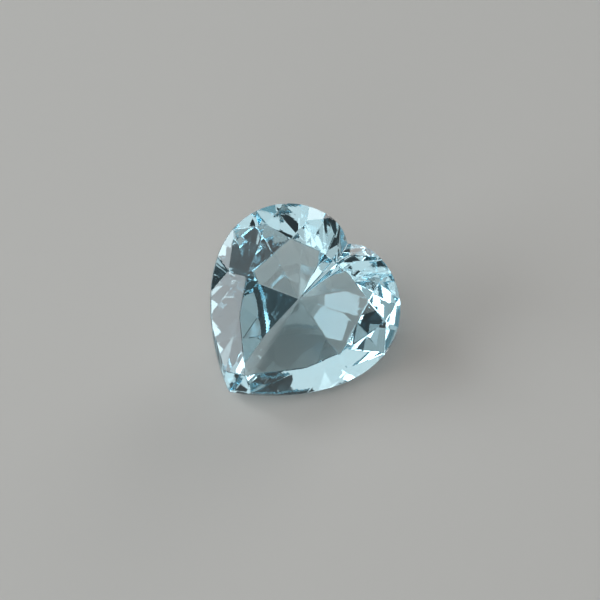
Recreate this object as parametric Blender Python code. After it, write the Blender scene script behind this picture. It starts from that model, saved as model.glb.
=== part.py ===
"""A loose heart-cut blue topaz, 7 mm wide, lying on one of its lower facets.

The stone is cut the way a faceter cuts it. Half of the heart is a convex prism,
and one plane after another grinds a flat facet on it: the table, the crown's
mains, stars and upper girdle facets, then the pavilion's mains and lower girdle
facets. The half is mirrored, so the two lobes meet in a valley at the cleft and
in one facet at the tip. Last, the stone is laid down on its lower right main.

While it is cut, the table faces +Z, the cleft points to +Y and the tip to -Y,
and Z = 0 is the middle of the girdle.
"""

from math import acos, atan2, ceil, cos, degrees, radians, sin

import bmesh
import bpy
from mathutils import Matrix, Vector
from mathutils.geometry import interpolate_bezier

for old in list(bpy.data.objects):
    bpy.data.objects.remove(old)

MM = 0.001

# The heart's outline at the girdle: each lobe is a wide arc that tightens into a
# smaller one towards the cleft, and a curve runs from the lobe down to the tip
HALF_WIDTH = 3.50 * MM
LOBE_RADIUS = 2.60 * MM
LOBE_CENTRE = Vector((HALF_WIDTH - LOBE_RADIUS, 0.46 * MM))
TIGHTER_FROM_DEG = 87
CLEFT_RADIUS = 1.42 * MM
TIP_Y = -4.03 * MM
SIDE_PULL = 2.50 * MM
TIP_PULL = 0.23 * MM
OUTLINE_STEP_DEG = 3
SIDE_CURVE_POINTS = 2000

# Heights, with the rims as the girdle's upper and lower edge
CROWN_HEIGHT = 1.00 * MM
GIRDLE_HEIGHT = 0.20 * MM
PAVILION_DEPTH = 2.40 * MM
CULET_Y = 0.18 * MM
UPPER_RIM = GIRDLE_HEIGHT / 2
LOWER_RIM = -GIRDLE_HEIGHT / 2
TABLE_HEIGHT = UPPER_RIM + CROWN_HEIGHT
CULET = Vector((0, CULET_Y, LOWER_RIM - PAVILION_DEPTH))

# The right half of the table, from the cleft round to the tip, with the way that
# the main under each corner faces, as an angle from +X
TABLE_CORNERS = [
    (Vector((0.00, 1.83)) * MM, 120),
    (Vector((0.67, 1.79)) * MM, 87),
    (Vector((1.76, 1.48)) * MM, 48),
    (Vector((2.15, -0.55)) * MM, 0),
    (Vector((1.48, -1.76)) * MM, -37),
    (Vector((0.00, -3.30)) * MM, -90),
]
# Where two mains meet, a star comes down from the table by this share of the
# crown, and two upper girdle facets come up from the rim to the star's point
STAR_DROP = 0.42

# The pavilion's mains, and how far the facets between them reach to the culet
PAVILION_MAINS_DEG = [122, 80, 40, 4, -47, -90]
LOWER_GIRDLE_REACH = 0.58
RESTING_MAIN_DEG = -47

# A main ends this far from the rim, between the two girdle facets beside it
MAIN_LIFT = 0.05 * MM

# How far the laid stone is turned from having its table square to the front
YAW_DEG = 5.1

SNAP = 2e-8
WELD = 0.002 * MM
STONE_BLUE = (0.60, 0.84, 0.92, 1.0)
TOPAZ_IOR = 1.62


def facing(degrees_from_x):
    """The unit direction in the girdle's plane at this angle from +X."""
    turn = radians(degrees_from_x)
    return Vector((cos(turn), sin(turn)))


def side_curve():
    """Points from the widest point down to the tip, on one cubic curve."""
    widest = Vector((HALF_WIDTH, LOBE_CENTRE.y, 0))
    tip = Vector((0, TIP_Y, 0))
    pull_down = widest - Vector((0, SIDE_PULL, 0))
    pull_out = tip + Vector((TIP_PULL, 0, 0))
    curve = interpolate_bezier(widest, pull_down, pull_out, tip, SIDE_CURVE_POINTS)
    return [point.to_2d() for point in curve]


SIDE = side_curve()
CLEFT_CENTRE = LOBE_CENTRE + (LOBE_RADIUS - CLEFT_RADIUS) * facing(TIGHTER_FROM_DEG)


def outline_point(degrees_from_x):
    """The point of the right half's outline that lies furthest out in this direction."""
    way = facing(degrees_from_x)
    if degrees_from_x > TIGHTER_FROM_DEG:
        return CLEFT_CENTRE + CLEFT_RADIUS * way
    if degrees_from_x >= 0:
        return LOBE_CENTRE + LOBE_RADIUS * way
    return max(SIDE, key=way.dot)


def half_outline():
    """The right half's outline, from the cleft round the lobe and down to the tip."""
    cleft_deg = degrees(acos(-CLEFT_CENTRE.x / CLEFT_RADIUS))
    cleft = Vector((0, outline_point(cleft_deg).y))
    first = OUTLINE_STEP_DEG * (ceil(cleft_deg / OUTLINE_STEP_DEG) - 1)
    turns = range(first, -90, -OUTLINE_STEP_DEG)
    return [cleft, *map(outline_point, turns), Vector((0, TIP_Y))]


def half_rough():
    """The uncut half: a closed prism of the half outline, taller than the stone."""
    rough = bmesh.new()
    bottom = 2 * CULET.z
    corners = [rough.verts.new((*corner, bottom)) for corner in half_outline()]
    base = rough.faces.new(corners)
    raised = bmesh.ops.extrude_face_region(rough, geom=[base])["geom"]
    top = [item for item in raised if isinstance(item, bmesh.types.BMVert)]
    bmesh.ops.translate(rough, verts=top, vec=(0, 0, -2 * bottom))
    bmesh.ops.recalc_face_normals(rough, faces=rough.faces)
    return rough


def sloping_facet(inner, turn_deg, rim_height):
    """The plane through an inner point and a level line that touches the outline.

    It faces outward at turn_deg from +X, and touches the girdle's wall at
    rim_height. It is returned as a point and a normal.
    """
    way = facing(turn_deg)
    rim = outline_point(turn_deg)
    run = (rim - inner.to_2d()).dot(way)
    rise = inner.z - rim_height
    normal = Vector((*(abs(rise) * way), run if rise > 0 else -run))
    return rim.to_3d() + Vector((0, 0, rim_height)), normal.normalized()


def girdle_facets(apex, first_turn, last_turn, rim_height):
    """The two facets between one pair of mains, from the rim to the apex."""
    span = last_turn - first_turn
    return [sloping_facet(apex, first_turn + share * span, rim_height) for share in (0.25, 0.75)]


def meeting(plane_a, plane_b, height):
    """The point where two sloping planes cross at this height."""
    (point_a, normal_a), (point_b, normal_b) = plane_a, plane_b
    level = Matrix((normal_a, normal_b, (0, 0, 1)))
    return level.inverted() @ Vector((normal_a.dot(point_a), normal_b.dot(point_b), height))


def crown_facets():
    """The table, mains, stars and upper girdle facets of the right half."""
    corners = [corner.to_3d() + Vector((0, 0, TABLE_HEIGHT)) for corner, _ in TABLE_CORNERS]
    turns = [turn for _, turn in TABLE_CORNERS]
    mains = [sloping_facet(*place, UPPER_RIM + MAIN_LIFT) for place in zip(corners, turns)]
    facets = [(corners[0], Vector((0, 0, 1))), *mains]
    for left in range(len(mains) - 1):
        right = left + 1
        apex = meeting(mains[left], mains[right], TABLE_HEIGHT - STAR_DROP * CROWN_HEIGHT)
        star = (apex - corners[left]).cross(corners[right] - corners[left]).normalized()
        facets.append((apex, star if star.z > 0 else -star))
        facets += girdle_facets(apex, turns[left], turns[right], UPPER_RIM)
    return facets


def pavilion_facets():
    """The mains and lower girdle facets of the right half, which meet at the culet."""
    turns = PAVILION_MAINS_DEG
    mains = [sloping_facet(CULET, turn, LOWER_RIM - MAIN_LIFT) for turn in turns]
    facets = list(mains)
    for left in range(len(mains) - 1):
        right = left + 1
        ridge_end = meeting(mains[left], mains[right], LOWER_RIM)
        apex = ridge_end.lerp(CULET, LOWER_GIRDLE_REACH)
        facets += girdle_facets(apex, turns[left], turns[right], LOWER_RIM)
    return facets


def grind(stone, point, normal):
    """Cut away what lies past the plane, and close the cut with one flat facet."""
    cells = [*stone.verts, *stone.edges, *stone.faces]
    bmesh.ops.bisect_plane(
        stone, geom=cells, dist=SNAP, plane_co=point, plane_no=normal, clear_outer=True
    )
    rim = [edge for edge in stone.edges if edge.is_boundary]
    if rim:
        bmesh.ops.contextual_create(stone, geom=rim)


def mirror_half(stone):
    """Open the half at its flat inner wall and weld its mirror image to it."""
    inner_wall = [face for face in stone.faces if face.normal.x < -0.999]
    bmesh.ops.delete(stone, geom=inner_wall, context="FACES")
    twin = bmesh.ops.duplicate(stone, geom=[*stone.verts, *stone.edges, *stone.faces])["geom"]
    twin_faces = [item for item in twin if isinstance(item, bmesh.types.BMFace)]
    twin_verts = [item for item in twin if isinstance(item, bmesh.types.BMVert)]
    bmesh.ops.scale(stone, vec=(-1, 1, 1), verts=twin_verts)
    bmesh.ops.reverse_faces(stone, faces=twin_faces)
    bmesh.ops.remove_doubles(stone, verts=stone.verts, dist=WELD)
    # A facet that lies across the middle, such as the table, becomes one face
    middle = [edge for edge in stone.edges if all(abs(vert.co.x) < SNAP for vert in edge.verts)]
    flat = [edge for edge in middle if edge.calc_face_angle(1) < radians(0.05)]
    bmesh.ops.dissolve_edges(stone, edges=flat, use_verts=True)
    bmesh.ops.recalc_face_normals(stone, faces=stone.faces)


def lay_down(stone):
    """Turn the stone onto its resting main, over the origin and on Z = 0."""
    _, down = sloping_facet(CULET, RESTING_MAIN_DEG, LOWER_RIM - MAIN_LIFT)
    tip_over = down.rotation_difference(Vector((0, 0, -1))).to_matrix()
    table_way = tip_over @ Vector((0, 0, 1))
    to_front = radians(-90) - atan2(table_way.y, table_way.x)
    turn = Matrix.Rotation(to_front + radians(YAW_DEG), 3, "Z")
    bmesh.ops.rotate(stone, matrix=turn @ tip_over, verts=stone.verts)
    lows = Vector([min(vert.co[axis] for vert in stone.verts) for axis in range(3)])
    highs = Vector([max(vert.co[axis] for vert in stone.verts) for axis in range(3)])
    middle = (lows + highs) / 2
    bmesh.ops.translate(stone, verts=stone.verts, vec=(-middle.x, -middle.y, -lows.z))


def topaz():
    """A clear, pale blue glassy material."""
    material = bpy.data.materials.new("pale_blue_topaz")
    material.use_nodes = True
    shader = material.node_tree.nodes["Principled BSDF"]
    shader.inputs["Base Color"].default_value = STONE_BLUE
    shader.inputs["Metallic"].default_value = 0.0
    shader.inputs["Roughness"].default_value = 0.0
    shader.inputs["IOR"].default_value = TOPAZ_IOR
    shader.inputs["Transmission Weight"].default_value = 1.0
    return material


def heart_cut_topaz():
    """The finished stone, as one object in its own material."""
    stone = half_rough()
    for point, normal in crown_facets() + pavilion_facets():
        grind(stone, point, normal)
    mirror_half(stone)
    lay_down(stone)
    mesh = bpy.data.meshes.new("heart_cut_topaz")
    stone.to_mesh(mesh)
    stone.free()
    mesh.materials.append(topaz())
    gem = bpy.data.objects.new("heart_cut_topaz", mesh)
    bpy.context.scene.collection.objects.link(gem)
    return gem


stone = heart_cut_topaz()
sides = [round(side / MM, 3) for side in stone.dimensions]
print(stone.name, len(stone.data.polygons), "faces", sides, "mm")
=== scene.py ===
# %% [markdown]
# A heart-cut topaz, dressed for the camera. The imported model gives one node, the
# cut stone, with every facet where the cutter put it. This lesson loads it, sets
# the camera and the light of the photograph, and turns the plain solid into clear
# pale blue topaz with crisp, faintly worn facet edges.

# %% The frame, and the box that the finished stone has to stay inside
from math import cos, pi, radians, sin, tan

import bmesh
import bpy
import numpy as np
from mathutils import Matrix, Vector


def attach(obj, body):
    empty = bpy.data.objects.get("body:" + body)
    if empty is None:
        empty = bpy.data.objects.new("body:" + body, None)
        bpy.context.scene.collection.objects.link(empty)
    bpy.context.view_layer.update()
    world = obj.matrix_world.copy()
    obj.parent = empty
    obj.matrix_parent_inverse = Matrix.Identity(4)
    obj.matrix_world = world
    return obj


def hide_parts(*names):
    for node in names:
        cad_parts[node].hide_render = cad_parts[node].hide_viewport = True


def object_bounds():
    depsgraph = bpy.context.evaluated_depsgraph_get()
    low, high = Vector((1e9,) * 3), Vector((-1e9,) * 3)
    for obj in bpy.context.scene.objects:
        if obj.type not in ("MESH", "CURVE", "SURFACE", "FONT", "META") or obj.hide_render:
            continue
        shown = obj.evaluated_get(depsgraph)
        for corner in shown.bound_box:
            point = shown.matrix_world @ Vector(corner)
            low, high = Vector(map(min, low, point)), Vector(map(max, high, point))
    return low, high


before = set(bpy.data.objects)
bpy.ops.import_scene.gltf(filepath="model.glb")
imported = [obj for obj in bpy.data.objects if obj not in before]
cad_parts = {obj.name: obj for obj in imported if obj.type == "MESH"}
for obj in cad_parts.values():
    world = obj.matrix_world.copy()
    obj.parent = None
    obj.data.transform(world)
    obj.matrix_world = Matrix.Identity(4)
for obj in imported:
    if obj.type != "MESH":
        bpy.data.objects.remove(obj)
CAD_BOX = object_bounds()
MM = 0.001
print("stone box, mm:", [[round(side / MM, 3) for side in corner] for corner in CAD_BOX])

# %% [markdown]
# The photograph looks down on the stone at about fifty-five degrees, close to the
# line that stands square on its tilted table, through a long lens from a hand's
# breadth away. A long lens keeps the heart's two sides equal. The camera stands a
# little to the left and is rolled a little, so that the heart stands as it does in
# the photograph, and the aim is a hair left of the stone's middle and above it.

# %% The camera
CAMERA_ELEVATION = radians(55.1)
CAMERA_TURN = radians(-7.0)
CAMERA_ROLL = radians(5.8)
CAMERA_DISTANCE = 120 * MM
PICTURE_WIDTH = 21.31 * MM
ASIDE = -0.20 * MM
ABOVE = 0.08 * MM
NEAREST_SEEN = 1 * MM
FURTHEST_SEEN = 10000 * MM
# Blender gives the sensor's width and the lens's length in millimetres
SENSOR_WIDTH = 36

STONE_MIDDLE = (Vector(CAD_BOX[0]) + Vector(CAD_BOX[1])) / 2
WAY_TO_CAMERA = Vector(
    (
        sin(CAMERA_TURN) * cos(CAMERA_ELEVATION),
        -cos(CAMERA_TURN) * cos(CAMERA_ELEVATION),
        sin(CAMERA_ELEVATION),
    )
)
level = WAY_TO_CAMERA.to_track_quat("Z", "Y").to_matrix()
facing = level @ Matrix.Rotation(CAMERA_ROLL, 3, "Z")
lens = bpy.data.cameras.new("macro_lens")
lens.sensor_width = SENSOR_WIDTH
lens.lens = SENSOR_WIDTH * CAMERA_DISTANCE / PICTURE_WIDTH
lens.clip_start = NEAREST_SEEN
lens.clip_end = FURTHEST_SEEN
camera = bpy.data.objects.new("camera", lens)
camera.location = STONE_MIDDLE + facing @ Vector((ASIDE, ABOVE, CAMERA_DISTANCE))
camera.rotation_euler = facing.to_euler()
bpy.context.scene.collection.objects.link(camera)
bpy.context.scene.camera = camera
print("lens, mm:", round(lens.lens, 1))

# %% [markdown]
# Shader sums are easier to read as sums. This small class wraps a socket, so that
# a * b + c on values adds the Math nodes, and one method adds any other node from
# its settings first and its sockets after them.

# %% Sockets that can be added and multiplied
class Value:
    """A value socket in a material, with the arithmetic that the finishes use."""

    def __init__(self, finish, socket):
        self.finish = finish
        self.socket = socket

    def math(self, operation, first, second):
        terms = {0: first, 1: second}
        return self.finish.node("ShaderNodeMath", {"operation": operation}, terms)

    def __add__(self, other):
        return self.math("ADD", self, other)

    def __sub__(self, other):
        return self.math("SUBTRACT", self, other)

    def __rsub__(self, other):
        return self.math("SUBTRACT", other, self)

    def __mul__(self, other):
        return self.math("MULTIPLY", self, other)

    __radd__ = __add__
    __rmul__ = __mul__


class Finish:
    """A new material and its node tree."""

    def __init__(self, name):
        self.material = bpy.data.materials.new(name)
        self.material.use_nodes = True
        self.nodes = self.material.node_tree.nodes
        self.links = self.material.node_tree.links
        self.shader = self.nodes["Principled BSDF"]
        self.output = self.nodes["Material Output"]

    def fill(self, node, sockets):
        """Link each socket that is given a Value, and set each of the others."""
        for name, value in sockets.items():
            if isinstance(value, Value):
                self.links.new(value.socket, node.inputs[name])
            else:
                node.inputs[name].default_value = value

    def node(self, kind, settings=None, sockets=None, out=0):
        """Add one node: its settings first, then its sockets' values or links."""
        node = self.nodes.new(kind)
        for name, value in (settings or {}).items():
            setattr(node, name, value)
        self.fill(node, sockets or {})
        return Value(self, node.outputs[out])

    def set(self, **sockets):
        """Fill the main shader's sockets, whose names are written with underscores."""
        self.fill(self.shader, {name.replace("_", " "): value for name, value in sockets.items()})


# The places of two outputs on their nodes: Object of Texture Coordinate, and
# Factor of Attribute
OBJECT_OUTPUT = 3
FACTOR_OUTPUT = 2
print("operators: +, -, *")

# %% [markdown]
# The stone lies on a sheet of pale grey paper. It is only a stage, so it is a wide
# flat square with a soft mottle, a hair below the stone: the air between the two
# keeps the facet that the stone lies on as mirror-like as the others.

# %% The paper it lies on
PAPER_HALF_SIDE = 400 * MM
AIR_GAP = 0.01 * MM
PAPER_LINEAR = (0.655, 0.652, 0.632, 1.0)
PAPER_ROUGHNESS = 0.9
MOTTLE_SCALE = 900.0
MOTTLE_DETAIL = 6.0
MOTTLE_SHINE = 0.1
MOTTLE_STRENGTH = 0.25
MOTTLE_HEIGHT = 0.02 * MM


def paper_material():
    paper = Finish("pale_paper")
    place = paper.node("ShaderNodeTexCoord", out=OBJECT_OUTPUT)
    mottle = paper.node(
        "ShaderNodeTexNoise",
        sockets={"Vector": place, "Scale": MOTTLE_SCALE, "Detail": MOTTLE_DETAIL},
    )
    paper.set(Base_Color=PAPER_LINEAR, Roughness=PAPER_ROUGHNESS - MOTTLE_SHINE * mottle)
    bump = paper.node(
        "ShaderNodeBump",
        sockets={"Height": mottle, "Strength": MOTTLE_STRENGTH, "Distance": MOTTLE_HEIGHT},
    )
    paper.set(Normal=bump)
    return paper.material


paper_mesh = bpy.data.meshes.new("paper")
# Four corners, half the side out either way, all one air gap below the stone
square = PAPER_HALF_SIDE * np.array([[-1, -1, 0], [1, -1, 0], [1, 1, 0], [-1, 1, 0]], float)
square[:, 2] = -AIR_GAP
paper_mesh.from_pydata(square, [], [[0, 1, 2, 3]])
paper_mesh.materials.append(paper_material())
paper = bpy.data.objects.new("paper", paper_mesh)
bpy.context.scene.collection.objects.link(paper)
print("paper half side, mm:", PAPER_HALF_SIDE / MM)

# %% [markdown]
# A cut stone shows the room more than itself. Its dark facets are the unlit parts
# of the room and its white ones are lamps, so round soft boxes of different sizes
# stand about it, with a dim even light between them. Daylight from a window comes
# from the left and is slightly blue, and the lamps elsewhere are slightly warm. Each
# is given by where the stone sees it: its azimuth from the front, positive to the
# right, its height above the paper and half its width, all in degrees, and how
# bright its face is.

# %% The light
LAMP_DISTANCE = 500 * MM
ROOM_BRIGHTNESS = 0.04
DAYLIGHT = (0.90, 0.97, 1.0)
LAMPLIGHT = (1.0, 0.96, 0.93)
GLASS_BOUNCES = 32
GLOSS_BOUNCES = 16
# The boxes whose names start with left are the window, and give daylight
SOFT_BOXES = {
    "left_window": (-80, 16, 18, 5.0),
    "left_back_window": (-120, 30, 12, 5.3),
    "left_middle_glow": (-95, 30, 8, 2.0),
    "left_high_glow": (-100, 45, 10, 1.0),
    "ceiling": (-55, 63, 32, 0.85),
    "front_box": (-10, 28, 20, 0.6),
    "low_front_box": (-24, 15, 14, 0.8),
    "low_right_box": (144, 15, 15, 3.7),
    "high_right_box": (125, 62, 12, 0.3),
}


def soft_box(name, azimuth, elevation, half_angle, brightness):
    """A round lamp that faces the stone, as wide as this angle either side."""
    turn, lift = radians(azimuth), radians(elevation)
    way = Vector((sin(turn) * cos(lift), -cos(turn) * cos(lift), sin(lift)))
    radius = LAMP_DISTANCE * tan(radians(half_angle))
    light = bpy.data.lights.new(name, "AREA")
    light.shape = "DISK"
    light.size = 2 * radius
    # A flat lamp's power is its face's brightness, times pi, times its area
    light.energy = brightness * pi * pi * radius**2
    light.color = DAYLIGHT if name.startswith("left") else LAMPLIGHT
    lamp = bpy.data.objects.new(name, light)
    lamp.location = LAMP_DISTANCE * way
    lamp.rotation_euler = way.to_track_quat("Z", "Y").to_euler()
    bpy.context.scene.collection.objects.link(lamp)


for name, place in SOFT_BOXES.items():
    soft_box(name, *place)

world = bpy.data.worlds.new("room")
world.use_nodes = True
world.node_tree.nodes["Background"].inputs["Color"].default_value = (1.0, 1.0, 1.0, 1.0)
world.node_tree.nodes["Background"].inputs["Strength"].default_value = ROOM_BRIGHTNESS
bpy.context.scene.world = world
bpy.context.scene.view_settings.view_transform = "Standard"
bpy.context.scene.cycles.max_bounces = GLASS_BOUNCES
bpy.context.scene.cycles.transmission_bounces = GLASS_BOUNCES
bpy.context.scene.cycles.glossy_bounces = GLOSS_BOUNCES
print("soft boxes:", len(SOFT_BOXES))

# %% [markdown]
# Topaz bends light a little more than window glass does and less than sapphire,
# and the blue grows with the length of stone that the light has crossed. So the
# surface is clear, and the colour is an absorption inside the stone.
#
# A real polish is not perfect. The facets are flat to a fraction of a degree, with
# fine grinding lines and a few rubbed specks, and the narrow wall of the girdle is
# left as it was ground, so it is frosted. The mesh says which faces are girdle.

# %% Clear blue topaz
# Texture scales and the density are per metre, because the model is in metres
TOPAZ_IOR = 1.62
ABSORPTION_TINT = (0.13, 0.80, 0.99, 1.0)
ABSORPTION_DENSITY = 78.0
GIRDLE_ROUGHNESS = 0.28
GIRDLE_SPREAD = 0.2
GRAIN_SCALE = 26000.0
GRAIN_DETAIL = 2.0
CLOUD_SCALE = 2200.0
CLOUD_DETAIL = 5.0
SPECK_STARTS = 0.66
SPECK_FULL = 0.74
SPECK_ROUGHNESS = 0.10
LINE_SCALE = 4200.0
LINE_WANDER = 3.0
LINE_DETAIL = 2.0
LINE_HEIGHT = 0.00008 * MM
CLOUD_TO_LINES = 3


def topaz_material():
    topaz = Finish("clear_blue_topaz")
    place = topaz.node("ShaderNodeTexCoord", out=OBJECT_OUTPUT)
    girdle = topaz.node("ShaderNodeAttribute", {"attribute_name": "girdle"}, out=FACTOR_OUTPUT)
    cloud = topaz.node(
        "ShaderNodeTexNoise",
        sockets={"Vector": place, "Scale": CLOUD_SCALE, "Detail": CLOUD_DETAIL},
    )
    grain = topaz.node(
        "ShaderNodeTexNoise",
        sockets={"Vector": place, "Scale": GRAIN_SCALE, "Detail": GRAIN_DETAIL},
    )
    # Only the few highest peaks of the cloud are rubbed
    rubbed = topaz.node(
        "ShaderNodeMapRange",
        {"interpolation_type": "SMOOTHSTEP"},
        {"Value": cloud, "From Min": SPECK_STARTS, "From Max": SPECK_FULL},
    )
    # The grain varies about a half, so it makes the frost rougher here and smoother there
    frosted = girdle * (GIRDLE_ROUGHNESS + GIRDLE_SPREAD * (grain - 0.5))
    topaz.set(
        Base_Color=(1, 1, 1, 1),
        Roughness=frosted + SPECK_ROUGHNESS * rubbed * grain,
        IOR=TOPAZ_IOR,
        Transmission_Weight=1.0,
    )
    lines = topaz.node(
        "ShaderNodeTexWave",
        {"bands_direction": "DIAGONAL"},
        {"Vector": place, "Scale": LINE_SCALE, "Distortion": LINE_WANDER, "Detail": LINE_DETAIL},
    )
    relief = lines + CLOUD_TO_LINES * cloud
    bump = topaz.node(
        "ShaderNodeBump", sockets={"Height": relief, "Strength": 1.0, "Distance": LINE_HEIGHT}
    )
    topaz.set(Normal=bump)
    depth = topaz.node(
        "ShaderNodeVolumeAbsorption",
        sockets={"Color": ABSORPTION_TINT, "Density": ABSORPTION_DENSITY},
    )
    topaz.links.new(depth.socket, topaz.output.inputs["Volume"])
    return topaz.material


clear_blue_topaz = topaz_material()
print("topaz nodes:", len(clear_blue_topaz.node_tree.nodes))

# %% [markdown]
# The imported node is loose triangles. A copy of it is merged, and triangles that lie
# in one plane become one facet again, so that the narrow bevel runs along the real
# facet edges and nowhere else. Only the longer edges are eased: round the girdle
# the facets are so small that their bevels would fold over each other. The girdle's
# wall is the ring of faces that stand square to the table.

# %% The stone, merged and with its edges eased
EDGE_EASE = 0.026 * MM
EDGE_SEGMENTS = 2
EDGE_ANGLE = radians(2.5)
SHORTEST_EASED = 0.2 * MM
WELD = 0.05 * MM
FLAT_ANGLE = radians(0.8)
WALL_TILT = sin(radians(3))


def merged_copy(node):
    """A new mesh from the node's triangles, welded, with each plane as one face.

    Its longer facet edges carry the bevel weight that the edge easing reads.
    """
    work = bmesh.new()
    work.from_mesh(bpy.data.objects[node].data)
    bmesh.ops.remove_doubles(work, verts=work.verts, dist=WELD)
    bmesh.ops.dissolve_limit(work, angle_limit=FLAT_ANGLE, verts=work.verts, edges=work.edges)
    weight = work.edges.layers.float.new("bevel_weight_edge")
    for edge in work.edges:
        stands_out = edge.calc_face_angle(0) > EDGE_ANGLE
        edge[weight] = float(stands_out and edge.calc_length() > SHORTEST_EASED)
    mesh = bpy.data.meshes.new(node + "_facets")
    work.to_mesh(mesh)
    work.free()
    return mesh


def mark_girdle(mesh):
    """Write 1 on the faces that stand square to the table, and 0 on the others."""
    table = max(mesh.polygons, key=lambda face: face.area).normal.copy()
    wall = [abs(face.normal.dot(table)) < WALL_TILT for face in mesh.polygons]
    mark = mesh.attributes.new("girdle", "FLOAT", "FACE")
    mark.data.foreach_set("value", np.array(wall, np.float32))
    return sum(wall)


facets = merged_copy("heart_cut_topaz")
print("girdle faces:", mark_girdle(facets))
facets.materials.clear()
facets.materials.append(clear_blue_topaz)
stone = bpy.data.objects.new("cut_stone", facets)
bpy.context.scene.collection.objects.link(stone)
ease = stone.modifiers.new("worn_edges", "BEVEL")
ease.width = EDGE_EASE
ease.segments = EDGE_SEGMENTS
ease.limit_method = "WEIGHT"
ease.use_clamp_overlap = False
ease.miter_outer = "MITER_SHARP"
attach(stone, "root")
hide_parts("heart_cut_topaz")
print("facets:", len(facets.polygons))
